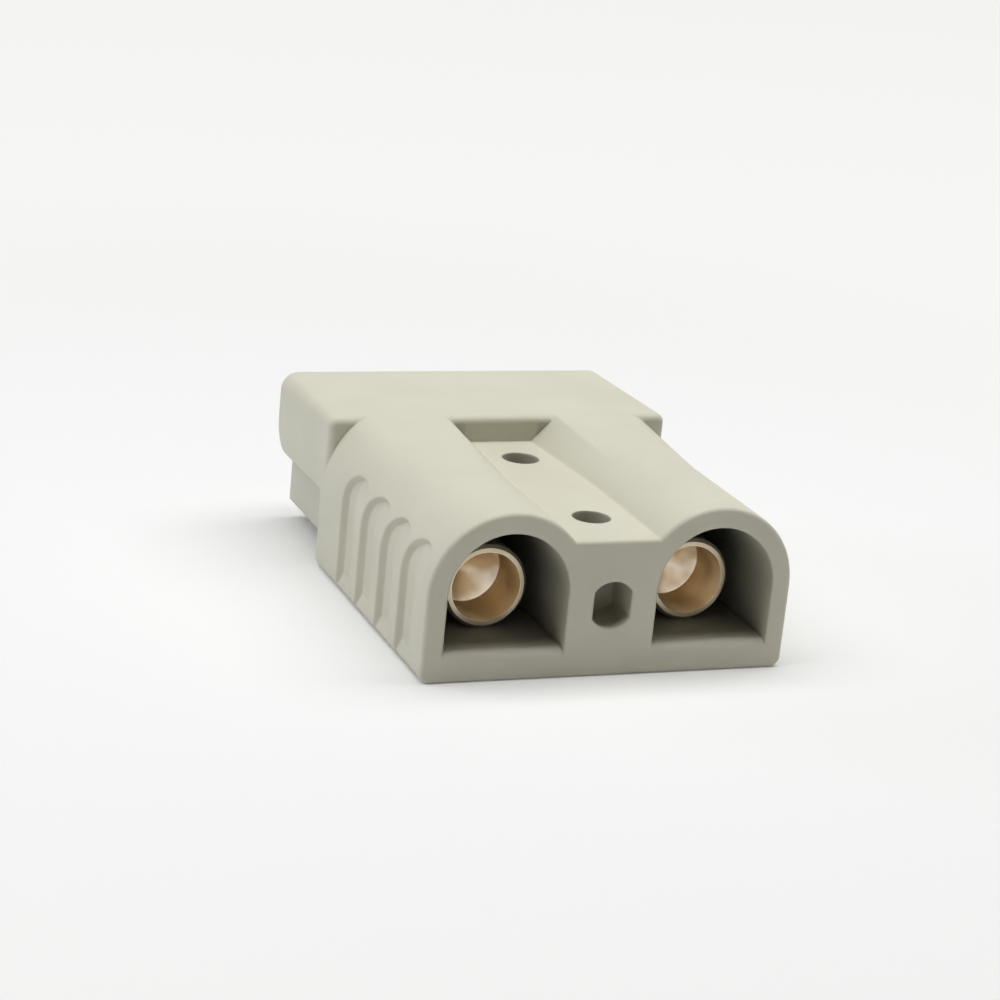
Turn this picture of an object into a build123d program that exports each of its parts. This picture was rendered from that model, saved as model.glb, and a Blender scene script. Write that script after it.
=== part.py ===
from build123d import *
from math import asin, atan2, cos, degrees, radians, sin, sqrt, tan
import os

# Genderless power connector, two poles, 50 A size.
# One moulded housing holds two crimp contacts, each on its own leaf spring. Two of these connectors mate
# when one is turned over: the hood of each one goes round the tongues of the other.
# Millimetres. +X goes across the width, +Y towards the mating end, +Z up. The origin is in the middle of
# the flat underside.

# outside of the housing
housing_width = 36.6
housing_length = 48.0
housing_height = 15.9          # up to the flat top of the hood
crest_rise = 0.3               # the round barrels stand this much above the hood at the cable end
arch_radius = 7.9              # outside of each round barrel, which reaches out to the full width
hood_length = 17.0
valley_depth = 2.6             # the flat between the two barrels lies this far below the hood
valley_half_width = 3.35       # half the flat's width where it meets the hood
crease_from_cable_end = 16.5   # the barrels are round up to here, then square up towards the hood
squared_shoulder_width = 4.6   # outer shoulder of a barrel where it meets the hood, a quarter of an oval
squared_shoulder_height = 6.6
barrel_flank_angle = 115.0     # where the inner flank of a round barrel begins, from the +X side
bottom_edge_radius = 1.0
edge_radius = 0.4
hood_back_corner_radius = 0.9
hood_front_corner_radius = 1.8
hood_back_edge_radius = 0.7

# walls
side_wall = 1.95               # beside a cable
hood_side_wall = 1.6           # beside a tongue of the other connector
chamber_floor = 2.95
hood_roof = 2.0

# mating end
mating_depth = 15.0            # from the mating face back to the step that stops the other hood
mating_gap = 0.1               # all round between a tongue and the other connector's hood
cavity_end_gap = 0.3           # the hood's hollow is this much deeper than the tongue is long
skirt_corner_radius = 3.0      # lower front corner of the hood's side walls
tongue_edge_radius = 0.5
step_edge_radius = 0.8

# cable end
floor_lip_radius = 0.8         # rounded near edge of the floor of each cable mouth

# holes in the web between the barrels
screw_hole_diameter = 3.7
screw_hole_spacing = 18.4
first_screw_hole = 6.8         # from the cable end
key_hole_diameter = 4.6
key_hole_width = 3.8           # its two sides are flat
key_hole_height = 7.0          # centre, above the underside
key_hole_depth = 4.2

# finger ribs
rib_count = 4
rib_pitch = 6.0
rib_depth = 0.55
rib_start = 1.5                # from the cable end
rib_ramp = 0.6                 # share of the pitch that slopes, the rest lies at full depth
rib_clearance = 0.05           # the slope begins this far outside the barrel, so that the cut is clean
rib_bottom = 0.2               # the scoop beside a rib starts at this height
rib_foot = 1.6                 # and gets deeper over this much
rib_top = 13.3                 # it ends at this height, where its upper end is round
rib_wall_angle = 40.0          # the scoop's upper end and its far wall lean back by this much
rib_reach = 2.4                # the scoop's rim is drawn this far in from the side

# contact
barrel_diameter = 8.2
bore_diameter = 6.8
barrel_length = 13.0
bore_depth = 5.5
drill_point_angle = 118.0
drill_point_flat = 0.1         # diameter of the flat at the very point
mouth_chamfer = 0.3
barrel_recess = 5.7            # rim of the crimp barrel, behind the cable end
barrel_seat_gap = 0.05
neck_length = 4.0
neck_gap = 0.5                 # between the end of the neck and the end wall of the cable chamber
blade_width = 9.2
blade_thickness = 2.1
wipe_rise = 0.5                # the blade stands this much above mid height and wipes on the other one
blade_side_gap = 0.3
blade_top_gap = 0.05
nose_setback = 1.6             # from the mating face back to the nose
nose_radius = 2.7
nose_thickness = 1.7
nose_drop = 4.1                # from the top of the blade to the end of the turned-down nose
nose_inner_radius = 0.6
nose_tip_chamfer = 0.4
blade_edge_chamfer = 0.25

# leaf spring
spring_width = 7.0
spring_thickness = 0.5
spring_root_from_neck = 2.3    # from the end of the neck to the leg in its slot
spring_leg = 1.1
spring_slot_gap = 0.1
spring_end_gap = 0.3           # behind the inner bend of the nose
spring_crown_from_end = 4.2
spring_bend_radius = 0.8       # middle of the strip
spring_touch_gap = 0.03
channel_floor = 3.3            # floor of the channel that the blade and spring lie in

# how far a cut or a joined block runs past the face it starts from
lap = 1.0

# worked out from the sizes above
half_width = housing_width / 2
cable_end = -housing_length / 2
mating_end = housing_length / 2
hood_back = mating_end - hood_length
crease = cable_end + crease_from_cable_end
step = mating_end - mating_depth
mid_height = housing_height / 2
pole_x = half_width - arch_radius
valley_floor = housing_height - valley_depth
arch_centre = housing_height + crest_rise - arch_radius
chamber_radius = arch_radius - side_wall
cavity_back = step - cavity_end_gap
cavity_half_width = arch_radius - hood_side_wall
tongue_half_width = cavity_half_width - mating_gap
tongue_bottom = hood_roof + mating_gap
rail_top = mid_height - mating_gap
channel_half_width = blade_width / 2 + blade_side_gap
barrel_centre = chamber_floor + barrel_seat_gap + barrel_diameter / 2
barrel_rim = cable_end + barrel_recess
neck_start = barrel_rim + barrel_length
blade_start = neck_start + neck_length
chamber_end = blade_start + neck_gap
blade_top = mid_height + wipe_rise
blade_bottom = blade_top - blade_thickness
nose_end = mating_end - nose_setback
nose_back = nose_end - nose_thickness
spring_root = blade_start + spring_root_from_neck


def across(y):
    """A plane across the housing at one place along it, with its own y pointing up."""
    return Plane.XZ.offset(-y)


def block(x_from, x_to, y_from, y_to, z_from, z_to):
    """A plain block between two corners."""
    size = (x_to - x_from, y_to - y_from, z_to - z_from)
    middle = ((x_from + x_to) / 2, (y_from + y_to) / 2, (z_from + z_to) / 2)
    return Pos(*middle) * Box(*size)


def at_both_poles(shape):
    """One piece at each pole, for something drawn on the middle line."""
    return Pos(-pole_x, 0, 0) * shape + Pos(pole_x, 0, 0) * shape


def on_both_sides(shape):
    """The shape and its mirror image in the middle plane."""
    return shape + mirror(shape, about=Plane.YZ)


def on_arch(angle):
    """A point of the round barrel's outside, at an angle in degrees from the +X side."""
    return (pole_x + arch_radius * cos(radians(angle)), arch_centre + arch_radius * sin(radians(angle)))


def shoulder(y, inset=0.0):
    """Outer shoulder of a barrel at one place along the housing, from its side up to its crest. The shoulder
    is a quarter of a round or an oval, and an inset moves it in from the side."""
    squareness = max(0.0, (y - crease) / (hood_back - crease))
    width = arch_radius + (squared_shoulder_width - arch_radius) * squareness
    height = arch_radius + (squared_shoulder_height - arch_radius) * squareness
    top = housing_height + crest_rise * (1 - squareness)
    centre = (half_width - inset - width, top - height)
    return EllipticalCenterArc(centre, width, height, start_angle=0, arc_size=90)


def round_section():
    """Right-hand barrel between the cable end and the crease."""
    foot_x = pole_x - sqrt(arch_radius ** 2 - (valley_floor - arch_centre) ** 2)
    foot = (foot_x, valley_floor)
    foot_angle = degrees(atan2(valley_floor - arch_centre, foot_x - pole_x))
    crest = 90
    outline = Curve() + [
        ThreePointArc(foot, on_arch((foot_angle + barrel_flank_angle) / 2), on_arch(barrel_flank_angle)),
        ThreePointArc(on_arch(barrel_flank_angle), on_arch((barrel_flank_angle + crest) / 2), on_arch(crest)),
        ThreePointArc(on_arch(crest), on_arch(crest / 2), on_arch(0)),
        Polyline(on_arch(0), (half_width, 0), (pole_x, 0), foot),
    ]
    return make_face(outline)


def squared_section():
    """Right-hand barrel where it meets the hood: a sloping flank, a flat top and a smaller shoulder."""
    arc = shoulder(hood_back)
    foot = (valley_half_width, valley_floor)
    flank_top = (valley_half_width + valley_depth, housing_height)
    outline = Curve() + [
        Line(foot, flank_top),
        Line(flank_top, arc @ 1),
        arc,
        Polyline(arc @ 0, (half_width, 0), (pole_x, 0), foot),
    ]
    return make_face(outline)


def barrels():
    """The two cable barrels with the web between them."""
    inside_hood = hood_back + lap
    front = squared_section()
    right = loft([across(cable_end) * round_section(), across(crease) * round_section()], ruled=True)
    right += loft([across(crease) * round_section(), across(hood_back) * front], ruled=True)
    right += loft([across(hood_back) * front, across(inside_hood) * front], ruled=True)
    web = block(-pole_x, pole_x, cable_end, inside_hood, 0, valley_floor)
    return on_both_sides(right) + web


def hood_section(corner_radius):
    """Outline across the hood, with its two upper corners rounded."""
    side_top = housing_height - corner_radius
    top_x = half_width - corner_radius
    outline = Curve() + [
        Polyline((-half_width, side_top), (-half_width, 0), (half_width, 0), (half_width, side_top)),
        RadiusArc((half_width, side_top), (top_x, housing_height), -corner_radius),
        Line((top_x, housing_height), (-top_x, housing_height)),
        RadiusArc((-top_x, housing_height), (-half_width, side_top), -corner_radius),
    ]
    return make_face(outline)


def hood_block():
    """The hood before it is hollowed. Its upper corners grow rounder towards the mating end."""
    back = across(hood_back) * hood_section(hood_back_corner_radius)
    front = across(mating_end) * hood_section(hood_front_corner_radius)
    solid = loft([back, front], ruled=True)
    for face, radius in ((solid.faces().sort_by(Axis.Y)[-1], edge_radius),
                         (solid.faces().sort_by(Axis.Y)[0], hood_back_edge_radius)):
        solid = fillet([edge for edge in face.edges() if edge.center().Z > 0.01], radius)
    return solid


def chamber():
    """The D-shaped hollow that a cable goes into, drawn on the middle line."""
    outline = Curve() + [
        Polyline((-chamber_radius, arch_centre), (-chamber_radius, chamber_floor),
                 (chamber_radius, chamber_floor), (chamber_radius, arch_centre)),
        ThreePointArc((chamber_radius, arch_centre), (0, arch_centre + chamber_radius),
                      (-chamber_radius, arch_centre)),
    ]
    return extrude(across(cable_end) * make_face(outline), chamber_end - cable_end, dir=(0, 1, 0))


def blade_passage():
    """The slot between chamber and hood that the blade fills, with the spring's slot in its floor."""
    passage = block(-channel_half_width, channel_half_width, chamber_end - lap, cavity_back + lap,
                    channel_floor, blade_top + blade_top_gap)
    slot_half = spring_width / 2 + spring_slot_gap
    slot = block(-slot_half, slot_half, spring_root - spring_slot_gap,
                 spring_root + spring_thickness + spring_slot_gap,
                 channel_floor - spring_leg - spring_slot_gap, channel_floor + lap)
    return passage + slot


def tongue():
    """The lower half at one pole: a tray with two rails, drawn on the middle line."""
    tray = block(-tongue_half_width, tongue_half_width, step - lap, mating_end, tongue_bottom, rail_top)
    front_edges = tray.faces().sort_by(Axis.Y)[-1].edges()
    tray = fillet(front_edges, tongue_edge_radius)
    channel = block(-channel_half_width, channel_half_width, step - 2 * lap, mating_end + lap,
                    channel_floor, rail_top + lap)
    return tray - channel


def rib_window(near, far):
    """All that lies inside the rim of one scoop. It narrows inwards, so that the ends and the wall slope."""
    sections = []
    for x in (half_width + lap, half_width - rib_reach):
        inset = (half_width - x) * tan(radians(rib_wall_angle))
        wall = far - inset
        top = rib_top - inset
        round_from = top - (wall - near) / 2
        rim = Curve() + [
            Polyline((near, round_from), (near, -lap), (wall, -lap), (wall, round_from)),
            ThreePointArc((wall, round_from), ((near + wall) / 2, top), (near, round_from)),
        ]
        sections.append(Plane.YZ.offset(x) * make_face(rim))
    return loft(sections, ruled=True)


def rib_slope(near, far):
    """What is left standing at the foot of a scoop, so that it runs out before the bottom edge."""
    outer_x = half_width + lap
    inner_x = half_width - rib_reach
    top = rib_bottom + rib_reach * rib_foot / rib_depth
    profile = Polyline((outer_x, -2 * lap), (outer_x, rib_bottom), (half_width, rib_bottom), (inner_x, top),
                       (inner_x, -2 * lap), (outer_x, -2 * lap))
    return extrude(across(near - lap) * make_face(profile), far - near + 2 * lap, dir=(0, 1, 0))


def rib_scoop(index):
    """What is cut away beside one finger rib: it slopes in from the cable end to a wall at the other."""
    near = cable_end + rib_start + index * rib_pitch
    deep_from = near + rib_ramp * rib_pitch
    far = near + rib_pitch
    depths = {near: -rib_clearance, deep_from: rib_depth, far: rib_depth}
    if near < crease < far:
        depths[crease] = rib_depth * min(1.0, (crease - near) / (deep_from - near))
    inner_x = pole_x - 3 * lap
    sections = []
    for y in sorted(depths):
        arc = shoulder(y, depths[y])
        outline = Curve() + [
            arc,
            Polyline(arc @ 1, (inner_x, (arc @ 1).Y), (inner_x, -2 * lap), ((arc @ 0).X, -2 * lap), arc @ 0),
        ]
        sections.append(across(y) * make_face(outline))
    return rib_window(near, far) - rib_slope(near, far) - loft(sections, ruled=True)


def key_hole():
    """The round hole with two flat sides in the middle of the cable end."""
    disc = Circle(key_hole_diameter / 2) & Rectangle(key_hole_width, key_hole_diameter + lap)
    return extrude(across(cable_end) * Pos(0, key_hole_height) * disc, key_hole_depth, dir=(0, 1, 0))


def screw_holes():
    """Two holes down through the web."""
    hole = Cylinder(screw_hole_diameter / 2, housing_height + 2 * lap)
    first = cable_end + first_screw_hole
    return [Pos(0, first + place * screw_hole_spacing, mid_height) * hole for place in (0, 1)]


def skirt_corner():
    """What is cut away to round the lower front corner of a side wall of the hood."""
    corner_y = mating_end - skirt_corner_radius
    corner_z = mid_height + skirt_corner_radius
    corner = block(pole_x, half_width + lap, corner_y, mating_end + lap, mid_height - lap, corner_z)
    across_wall = Rotation(0, 90, 0) * Cylinder(skirt_corner_radius, housing_width)
    return corner - Pos(pole_x, corner_y, corner_z) * across_wall


def edges_along_x(shape, y, z):
    """The edges of a shape that run across it at one place."""
    return [edge for edge in shape.edges().filter_by(Axis.X)
            if abs(edge.center().Y - y) < 0.01 and abs(edge.center().Z - z) < 0.01]


def housing():
    """The whole moulding."""
    body = hood_block() + barrels()
    bottom_edges = [edge for edge in body.edges()
                    if edge.center().Z < 0.01 and abs(edge.center().X) > half_width - 0.01]
    body = fillet(bottom_edges, bottom_edge_radius)
    body = fillet(body.faces().sort_by(Axis.Y)[0].outer_wire().edges(), edge_radius)
    body -= block(-half_width - lap, half_width + lap, step, mating_end + lap, -lap, mid_height)
    body = fillet(edges_along_x(body, step, 0), step_edge_radius)
    cavity = block(-cavity_half_width, cavity_half_width, cavity_back, mating_end + lap, mid_height,
                   housing_height - hood_roof)
    body -= at_both_poles(cavity)
    body -= on_both_sides(skirt_corner())
    body += at_both_poles(tongue())
    body -= at_both_poles(chamber())
    body = fillet(edges_along_x(body, cable_end, chamber_floor), floor_lip_radius)
    body -= at_both_poles(blade_passage())
    body -= key_hole()
    for hole in screw_holes():
        body -= hole
    for index in range(rib_count):
        body -= on_both_sides(rib_scoop(index))
    return body


def contact():
    """One contact on the middle line: crimp barrel, neck, and blade with its nose turned down."""
    along = across(barrel_rim) * Pos(0, barrel_centre)
    barrel = extrude(along * Circle(barrel_diameter / 2), barrel_length, dir=(0, 1, 0))
    barrel = chamfer(barrel.faces().sort_by(Axis.Y)[0].edges(), mouth_chamfer)
    blade_centre = (blade_top + blade_bottom) / 2
    neck = loft([across(neck_start) * Pos(0, barrel_centre) * Circle(barrel_diameter / 2),
                 across(blade_start) * Pos(0, blade_centre) * Rectangle(blade_width, blade_thickness)])
    bore = extrude(along * Circle(bore_diameter / 2), bore_depth, dir=(0, 1, 0))
    point_length = bore_diameter / 2 / tan(radians(drill_point_angle / 2))
    bore_end = across(barrel_rim + bore_depth) * Pos(0, barrel_centre)
    bore += loft([bore_end * Circle(bore_diameter / 2),
                  bore_end * Pos(0, 0, -point_length) * Circle(drill_point_flat / 2)])
    return barrel + neck + blade() - bore


def blade():
    """The flat blade from the neck to the nose, with rounded bends and broken edges."""
    nose_bottom = blade_top - nose_drop
    outline = Polyline((blade_start, blade_top), (nose_end, blade_top), (nose_end, nose_bottom),
                       (nose_back, nose_bottom), (nose_back, blade_bottom), (blade_start, blade_bottom),
                       close=True)
    solid = extrude(Plane.YZ * make_face(outline), blade_width / 2, both=True)
    solid = fillet(edges_along_x(solid, nose_end, blade_top), nose_radius)
    solid = fillet(edges_along_x(solid, nose_back, blade_bottom), nose_inner_radius)
    for y in (nose_end, nose_back):
        solid = chamfer(edges_along_x(solid, y, nose_bottom), nose_tip_chamfer)
    sides = solid.faces().filter_by(Axis.X)
    side_edges = [edge for edge in sides.edges() if edge.center().Y > blade_start + 0.01]
    return chamfer(side_edges, blade_edge_chamfer)


def leaf_spring():
    """One leaf spring on the middle line: a leg in the slot, a bend, then a bow up under the blade."""
    half = spring_thickness / 2
    leg_y = spring_root + half
    tip_y = nose_back - nose_inner_radius - spring_end_gap
    crown_y = tip_y - spring_crown_from_end
    crown_z = blade_bottom - spring_touch_gap - half
    # the bend turns the leg until it runs into the bow, and both turn the same way
    run = crown_y - leg_y - spring_bend_radius
    rise = crown_z - channel_floor - spring_bend_radius
    slope = 2 * atan2(rise, run)
    bow_radius = run / sin(slope) + spring_bend_radius

    def on_bend(angle):
        """A point of the bend, at an angle in radians from the leg."""
        along = leg_y + spring_bend_radius * (1 - cos(angle))
        return (along, channel_floor + spring_bend_radius * sin(angle))

    def on_bow(angle):
        """A point of the bow, at an angle in radians from its crown."""
        along = crown_y + bow_radius * sin(angle)
        return (along, crown_z - bow_radius * (1 - cos(angle)))

    turn = radians(90) - slope
    tip_angle = asin(spring_crown_from_end / bow_radius)
    path = Curve() + [
        Line((leg_y, channel_floor - spring_leg), on_bend(0)),
        ThreePointArc(on_bend(0), on_bend(turn / 2), on_bend(turn)),
        ThreePointArc(on_bow(-slope), on_bow(0), on_bow(tip_angle)),
    ]
    strip = Plane.YZ * trace(path, spring_thickness)
    return extrude(strip, spring_width / 2, both=True)


def write(name, shape):
    export_step(shape, "parts/" + name + ".step")


os.makedirs("parts", exist_ok=True)
write("housing", housing())
for side, x in (("left", -pole_x), ("right", pole_x)):
    write("contact_" + side, Pos(x, 0, 0) * contact())
    write("spring_" + side, Pos(x, 0, 0) * leaf_spring())
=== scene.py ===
import math

import bmesh
import bpy
from mathutils import Matrix, Vector


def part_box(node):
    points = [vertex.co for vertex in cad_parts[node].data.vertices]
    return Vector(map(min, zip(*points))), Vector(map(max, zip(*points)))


# Genderless power connector, two poles, 50 A size: its finishes, the light and the camera.
# The frame's solids carry every shape. Metres. +Y runs from the cable end to the mating end.
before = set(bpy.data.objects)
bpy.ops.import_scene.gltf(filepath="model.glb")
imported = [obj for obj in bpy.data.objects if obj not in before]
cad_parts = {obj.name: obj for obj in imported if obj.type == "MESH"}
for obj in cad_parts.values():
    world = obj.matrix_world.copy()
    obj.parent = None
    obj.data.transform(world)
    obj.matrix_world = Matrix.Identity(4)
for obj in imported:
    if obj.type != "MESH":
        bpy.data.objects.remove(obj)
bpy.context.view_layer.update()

mm = 0.001

# the two crimp barrels: their sizes, and their place from the frame's contacts
barrel_radius = 4.1 * mm
barrel_length = 13 * mm
bore_radius = 3.4 * mm
bore_depth = 5.5 * mm
contact_low, contact_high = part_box("contact_right")
barrel_x = (contact_low.x + contact_high.x) / 2
barrel_rim = contact_low.y
barrel_z = contact_low.z + barrel_radius

# half the web between the two cable chambers
web_half_width = 4 * mm

# the colour sockets of a Mix node
first_colour, second_colour, mixed_colour = 6, 7, 2


def linear(code):
    """An sRGB hex colour as linear red, green, blue and alpha."""
    channels = [int(code[place:place + 2], 16) / 255 for place in (1, 3, 5)]
    return [c / 12.92 if c <= 0.04045 else ((c + 0.055) / 1.055) ** 2.4 for c in channels] + [1.0]


def add(tree, kind, settings=None, links=None):
    """One node with its settings and what is linked to its inputs."""
    node = tree.nodes.new(kind)
    for name, value in (settings or {}).items():
        if hasattr(node, str(name)):
            setattr(node, name, value)
        else:
            node.inputs[name].default_value = value
    for name, source in (links or {}).items():
        tree.links.new(source, node.inputs[name])
    return node


def new_material(name):
    """An empty node material and its output node."""
    material = bpy.data.materials.new(name)
    material.use_nodes = True
    material.node_tree.nodes.clear()
    return material, add(material.node_tree, "ShaderNodeOutputMaterial")


def graded(tree, value, low, low_code, high, high_code):
    """A colour that goes from one to another as a value goes from low to high."""
    ramp = add(tree, "ShaderNodeValToRGB", {}, {"Fac": value})
    first, last = ramp.color_ramp.elements
    first.position = low
    first.color = linear(low_code)
    last.position = high
    last.color = linear(high_code)
    return ramp.outputs["Color"]


def moulded_polycarbonate():
    """Light warm grey polycarbonate from a fine spark-eroded mould: a dull, even surface whose grain only
    shows as a soft break in the highlights. Its edges are softly rounded by the mould."""
    material, output = new_material("moulded_polycarbonate")
    tree = material.node_tree
    place = add(tree, "ShaderNodeTexCoord").outputs["Object"]
    clouds = add(tree, "ShaderNodeTexNoise", {"Scale": 1 / (9 * mm), "Detail": 3.0}, {"Vector": place})
    tint = graded(tree, clouds.outputs["Fac"], 0.3, "#C9C6B4", 0.7, "#CFCCBA")
    # the real grain is some 0.05 mm, too fine to show, so it is drawn at 0.2 mm
    grain = add(tree, "ShaderNodeTexNoise", {"Scale": 1 / (0.2 * mm), "Detail": 2.0}, {"Vector": place})
    dullness = add(tree, "ShaderNodeMapRange", {"To Min": 0.42, "To Max": 0.56},
                   {"Value": grain.outputs["Fac"]})
    # painted shade: the colour is darkened where ambient occlusion finds hollows, most deep inside the
    # chambers and less in the web's holes
    depth = add(tree, "ShaderNodeAmbientOcclusion", {"samples": 8, "only_local": True, "Distance": 14 * mm})
    painted_hollow_shade = add(tree, "ShaderNodeMapRange", {"From Min": 0.05, "From Max": 0.64, "To Min": 0.10},
                {"Value": depth.outputs["AO"]})
    parts = add(tree, "ShaderNodeSeparateXYZ", {}, {"Vector": place})
    side = add(tree, "ShaderNodeMath", {"operation": "ABSOLUTE"}, {0: parts.outputs["X"]})
    beside_web = add(tree, "ShaderNodeMapRange", {
        "From Min": web_half_width - 0.2 * mm, "From Max": web_half_width + 0.2 * mm, "To Min": 0.35},
        {"Value": side.outputs[0]})
    # painted shade, weaker across the web
    shade = add(tree, "ShaderNodeMix", {"A": 1.0}, {
        "Factor": beside_web.outputs["Result"], "B": painted_hollow_shade.outputs["Result"]})
    colour = add(tree, "ShaderNodeVectorMath", {"operation": "SCALE"},
                 {0: tint, "Scale": shade.outputs["Result"]})
    rounded = add(tree, "ShaderNodeBevel", {"samples": 6, "Radius": 0.4 * mm})
    bump = add(tree, "ShaderNodeBump", {"Strength": 0.12, "Distance": 0.05 * mm},
               {"Height": grain.outputs["Fac"], "Normal": rounded.outputs["Normal"]})
    shader = add(tree, "ShaderNodeBsdfPrincipled", {"IOR": 1.58, "Specular IOR Level": 0.3}, {
        "Base Color": colour.outputs["Vector"], "Roughness": dullness.outputs["Result"],
        "Normal": bump.outputs["Normal"]})
    tree.links.new(shader.outputs["BSDF"], output.inputs["Surface"])
    return material


def silver_plated_copper():
    """Copper plated with silver: a soft grey shine outside, tarnished to tan on the rim and the wall of the
    drilled barrel, with the cutter's fine rings."""
    material, output = new_material("silver_plated_copper")
    tree = material.node_tree
    place = add(tree, "ShaderNodeTexCoord").outputs["Object"]
    parts = add(tree, "ShaderNodeSeparateXYZ", {}, {"Vector": place})
    side = add(tree, "ShaderNodeMath", {"operation": "ABSOLUTE"}, {0: parts.outputs["X"]})
    off_x = add(tree, "ShaderNodeMath", {"operation": "SUBTRACT", 1: barrel_x}, {0: side.outputs[0]})
    off_z = add(tree, "ShaderNodeMath", {"operation": "SUBTRACT", 1: barrel_z}, {0: parts.outputs["Z"]})
    spoke = add(tree, "ShaderNodeCombineXYZ", {}, {"X": off_x.outputs[0], "Z": off_z.outputs[0]})
    radius = add(tree, "ShaderNodeVectorMath", {"operation": "LENGTH"}, {0: spoke.outputs["Vector"]})
    inside = add(tree, "ShaderNodeMapRange", {
        "From Min": barrel_radius - 0.05 * mm, "From Max": barrel_radius - 0.4 * mm},
        {"Value": radius.outputs["Value"]})
    barrel_end = barrel_rim + barrel_length
    in_barrel = add(tree, "ShaderNodeMapRange", {
        "From Min": barrel_end + 1 * mm, "From Max": barrel_end}, {"Value": parts.outputs["Y"]})
    bore = add(tree, "ShaderNodeMath", {"operation": "MULTIPLY"},
               {0: inside.outputs["Result"], 1: in_barrel.outputs["Result"]})
    bore_end = barrel_rim + bore_depth
    at_bottom = add(tree, "ShaderNodeMapRange", {
        "From Min": bore_end - 0.2 * mm, "From Max": bore_end + 0.1 * mm}, {"Value": parts.outputs["Y"]})
    bottom = add(tree, "ShaderNodeMath", {"operation": "MULTIPLY"},
                 {0: bore.outputs[0], 1: at_bottom.outputs["Result"]})
    stains = add(tree, "ShaderNodeTexNoise", {"Scale": 1 / (2.5 * mm), "Detail": 4.0}, {"Vector": place})
    plate = graded(tree, stains.outputs["Fac"], 0.35, "#C8C2B6", 0.7, "#DAD6CD")
    tarnish = graded(tree, stains.outputs["Fac"], 0.3, "#EBD8B4", 0.75, "#FAEDD4")
    # the sawn rim is duller than the wall
    at_rim = add(tree, "ShaderNodeMapRange", {
        "From Min": bore_radius - 0.02 * mm, "From Max": bore_radius + 0.08 * mm,
        "To Min": 1.0, "To Max": 0.6}, {"Value": radius.outputs["Value"]})
    worn = add(tree, "ShaderNodeVectorMath", {"operation": "SCALE"},
               {0: tarnish, "Scale": at_rim.outputs["Result"]})
    outside = add(tree, "ShaderNodeMix", {"data_type": "RGBA"}, {
        "Factor": bore.outputs[0], first_colour: plate, second_colour: worn.outputs["Vector"]})
    # painted highlight and shade: light and dark patches, laid at random, stand in for the bright and shaded
    # facets of the drilled bottom
    facet_light_noise = add(tree, "ShaderNodeTexNoise", {"Scale": 1 / (2.2 * mm), "Detail": 1.0, "Distortion": 0.3},
                  {"Vector": place})
    painted_facet_light = graded(tree, facet_light_noise.outputs["Fac"], 0.38, "#D0B594", 0.62, "#F6E9D8")
    colour = add(tree, "ShaderNodeMix", {"data_type": "RGBA"}, {
        "Factor": bottom.outputs[0], first_colour: outside.outputs[mixed_colour], second_colour: painted_facet_light})
    # the cutter's rings run round the wall and round the middle of the bottom
    cut = add(tree, "ShaderNodeCombineXYZ", {}, {"X": radius.outputs["Value"], "Y": parts.outputs["Y"]})
    rings = add(tree, "ShaderNodeTexNoise", {"Scale": 1 / (0.3 * mm), "Detail": 2.0},
                {"Vector": cut.outputs["Vector"]})
    dullness = add(tree, "ShaderNodeMapRange", {"To Min": 0.24, "To Max": 0.42},
                   {"Value": rings.outputs["Fac"]})
    bump = add(tree, "ShaderNodeBump", {"Strength": 0.15, "Distance": 0.02 * mm},
               {"Height": rings.outputs["Fac"]})
    shader = add(tree, "ShaderNodeBsdfPrincipled", {"Metallic": 1.0}, {
        "Base Color": colour.outputs[mixed_colour], "Roughness": dullness.outputs["Result"],
        "Normal": bump.outputs["Normal"]})
    tree.links.new(shader.outputs["BSDF"], output.inputs["Surface"])
    return material


def rolled_stainless_strip():
    """Stainless spring strip, cold rolled: a grey shine drawn out along the strip."""
    material, output = new_material("rolled_stainless_strip")
    tree = material.node_tree
    place = add(tree, "ShaderNodeTexCoord").outputs["Object"]
    stretched = add(tree, "ShaderNodeMapping", {"Scale": (1 / (0.12 * mm), 1 / (4 * mm), 1 / (0.5 * mm))},
                    {"Vector": place})
    lines = add(tree, "ShaderNodeTexNoise", {"Scale": 1.0, "Detail": 3.0}, {"Vector": stretched.outputs[0]})
    tint = graded(tree, lines.outputs["Fac"], 0.0, "#A9A9A8", 1.0, "#C6C6C4")
    dullness = add(tree, "ShaderNodeMapRange", {"To Min": 0.22, "To Max": 0.38},
                   {"Value": lines.outputs["Fac"]})
    shader = add(tree, "ShaderNodeBsdfPrincipled", {"Metallic": 1.0},
                 {"Base Color": tint, "Roughness": dullness.outputs["Result"]})
    tree.links.new(shader.outputs["BSDF"], output.inputs["Surface"])
    return material


def seen_or_mirrored(tree):
    """One for what the camera sees, straight or in something shiny, and nought for light on the object."""
    path = add(tree, "ShaderNodeLightPath")
    shiny = add(tree, "ShaderNodeMath", {"operation": "MAXIMUM"}, {
        0: path.outputs["Is Glossy Ray"], 1: path.outputs["Is Transmission Ray"]})
    return add(tree, "ShaderNodeMath", {"operation": "MAXIMUM"}, {
        0: path.outputs["Is Camera Ray"], 1: shiny.outputs[0]}).outputs[0]


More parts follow.
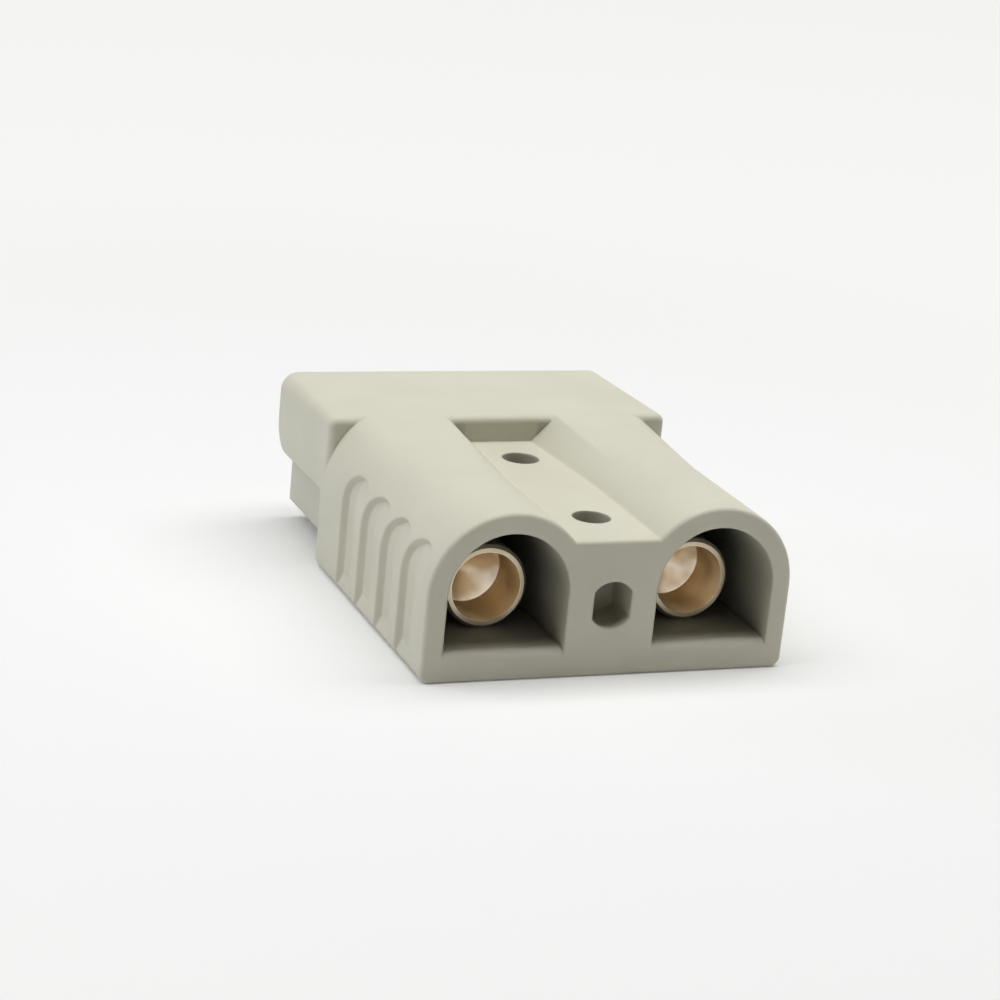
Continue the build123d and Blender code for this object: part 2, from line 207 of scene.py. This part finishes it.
def white_card():
    """The pale card that the object lies on. Away from the object the camera sees it lit from behind, so
    that it is as even as a backdrop. Near the object it is plain paper and keeps the shadow."""
    material, output = new_material("white_card")
    tree = material.node_tree
    paper = add(tree, "ShaderNodeBsdfDiffuse", {"Color": linear("#F4F4F3")})
    glow = add(tree, "ShaderNodeEmission", {"Color": linear("#F7F7F5"), "Strength": 1.0})
    place = add(tree, "ShaderNodeTexCoord").outputs["Object"]
    away = add(tree, "ShaderNodeVectorMath", {"operation": "LENGTH"}, {0: place})
    lit = add(tree, "ShaderNodeMapRange", {
        "interpolation_type": "SMOOTHSTEP", "From Min": 40 * mm, "From Max": 200 * mm,
        "To Min": 0.12, "To Max": 0.95}, {"Value": away.outputs["Value"]})
    share = add(tree, "ShaderNodeMath", {"operation": "MULTIPLY"},
                {0: seen_or_mirrored(tree), 1: lit.outputs["Result"]})
    both = add(tree, "ShaderNodeMixShader", {}, {0: share.outputs[0]})
    tree.links.new(paper.outputs["BSDF"], both.inputs[1])
    tree.links.new(glow.outputs["Emission"], both.inputs[2])
    tree.links.new(both.outputs["Shader"], output.inputs["Surface"])
    return material


def dress(finishes):
    """Each node of the frame gets its finish."""
    for name, material in finishes.items():
        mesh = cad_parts[name].data
        mesh.materials.clear()
        mesh.materials.append(material)


def make_floor():
    """A round card that reaches past the view on every side, a hair below the object."""
    mesh = bpy.data.meshes.new("card")
    work = bmesh.new()
    hair_below = Matrix.Translation((0, 0, -0.02 * mm))
    bmesh.ops.create_circle(work, cap_ends=True, radius=3.0, segments=64, matrix=hair_below)
    work.to_mesh(mesh)
    work.free()
    card = bpy.data.objects.new("card", mesh)
    bpy.context.scene.collection.objects.link(card)
    mesh.materials.append(white_card())


def soft_box(name, place, aim, width, depth, power, tone="#FFFFFF"):
    """A wide flat lamp that gives shadows with soft edges, turned towards a point."""
    lamp = bpy.data.lights.new(name, "AREA")
    lamp.color = linear(tone)[:3]
    lamp.shape = "RECTANGLE"
    lamp.size = width
    lamp.size_y = depth
    lamp.energy = power
    holder = bpy.data.objects.new(name, lamp)
    holder.location = place
    holder.rotation_mode = "QUATERNION"
    holder.rotation_quaternion = (Vector(aim) - Vector(place)).to_track_quat("-Z", "Y")
    bpy.context.scene.collection.objects.link(holder)


def light_room():
    """A dim even room, which the camera and shiny metal see near white. A wide lamp hangs above the object, a
    weak one stands in front, and a bluish one at the back left stands for a window."""
    world = bpy.data.worlds.new("pale_room")
    bpy.context.scene.world = world
    world.use_nodes = True
    tree = world.node_tree
    tree.nodes.clear()
    lit = add(tree, "ShaderNodeBackground", {"Color": linear("#FFFFFF"), "Strength": 0.025})
    shown = add(tree, "ShaderNodeBackground", {"Color": linear("#F4F4F2"), "Strength": 1.0})
    both = add(tree, "ShaderNodeMixShader", {}, {0: seen_or_mirrored(tree)})
    tree.links.new(lit.outputs["Background"], both.inputs[1])
    tree.links.new(shown.outputs["Background"], both.inputs[2])
    output = add(tree, "ShaderNodeOutputWorld")
    tree.links.new(both.outputs["Shader"], output.inputs["Surface"])
    soft_box("box_above", (0.0, 0.02, 0.45), (0.0, 0.02, 0), 1.1, 0.3, 3.65)
    soft_box("box_front", (0.2, -0.55, 0.40), (0, -0.05, 0), 0.4, 0.3, 0.12)
    soft_box("window_left", (-0.6, 0.35, 0.15), (0, 0, 0), 0.3, 0.2, 0.8, "#DCE9FF")


def make_camera():
    """The camera of the photograph, found by fitting the connector's edges."""
    place = Vector((-0.099885, -0.234806, 0.089407))
    yaw, pitch, roll = 0.394, 0.305, 0.100
    forward = Vector((math.sin(yaw) * math.cos(pitch), math.cos(yaw) * math.cos(pitch), -math.sin(pitch)))
    level = Vector((math.cos(yaw), -math.sin(yaw), 0))
    upright = level.cross(forward)
    right = math.cos(roll) * level + math.sin(roll) * upright
    up = math.cos(roll) * upright - math.sin(roll) * level
    data = bpy.data.cameras.new("camera")
    data.sensor_width = 36.0
    data.lens = 96.25
    data.clip_start = 0.01
    data.clip_end = 20.0
    camera = bpy.data.objects.new("camera", data)
    turn = Matrix((right, up, -forward)).transposed()
    camera.matrix_world = Matrix.Translation(place) @ turn.to_4x4()
    bpy.context.scene.collection.objects.link(camera)
    bpy.context.scene.camera = camera


plate = silver_plated_copper()
strip = rolled_stainless_strip()
dress({
    "housing": moulded_polycarbonate(),
    "contact_left": plate,
    "contact_right": plate,
    "spring_left": strip,
    "spring_right": strip,
})
make_floor()
light_room()
make_camera()
bpy.context.scene.view_settings.view_transform = "Standard"
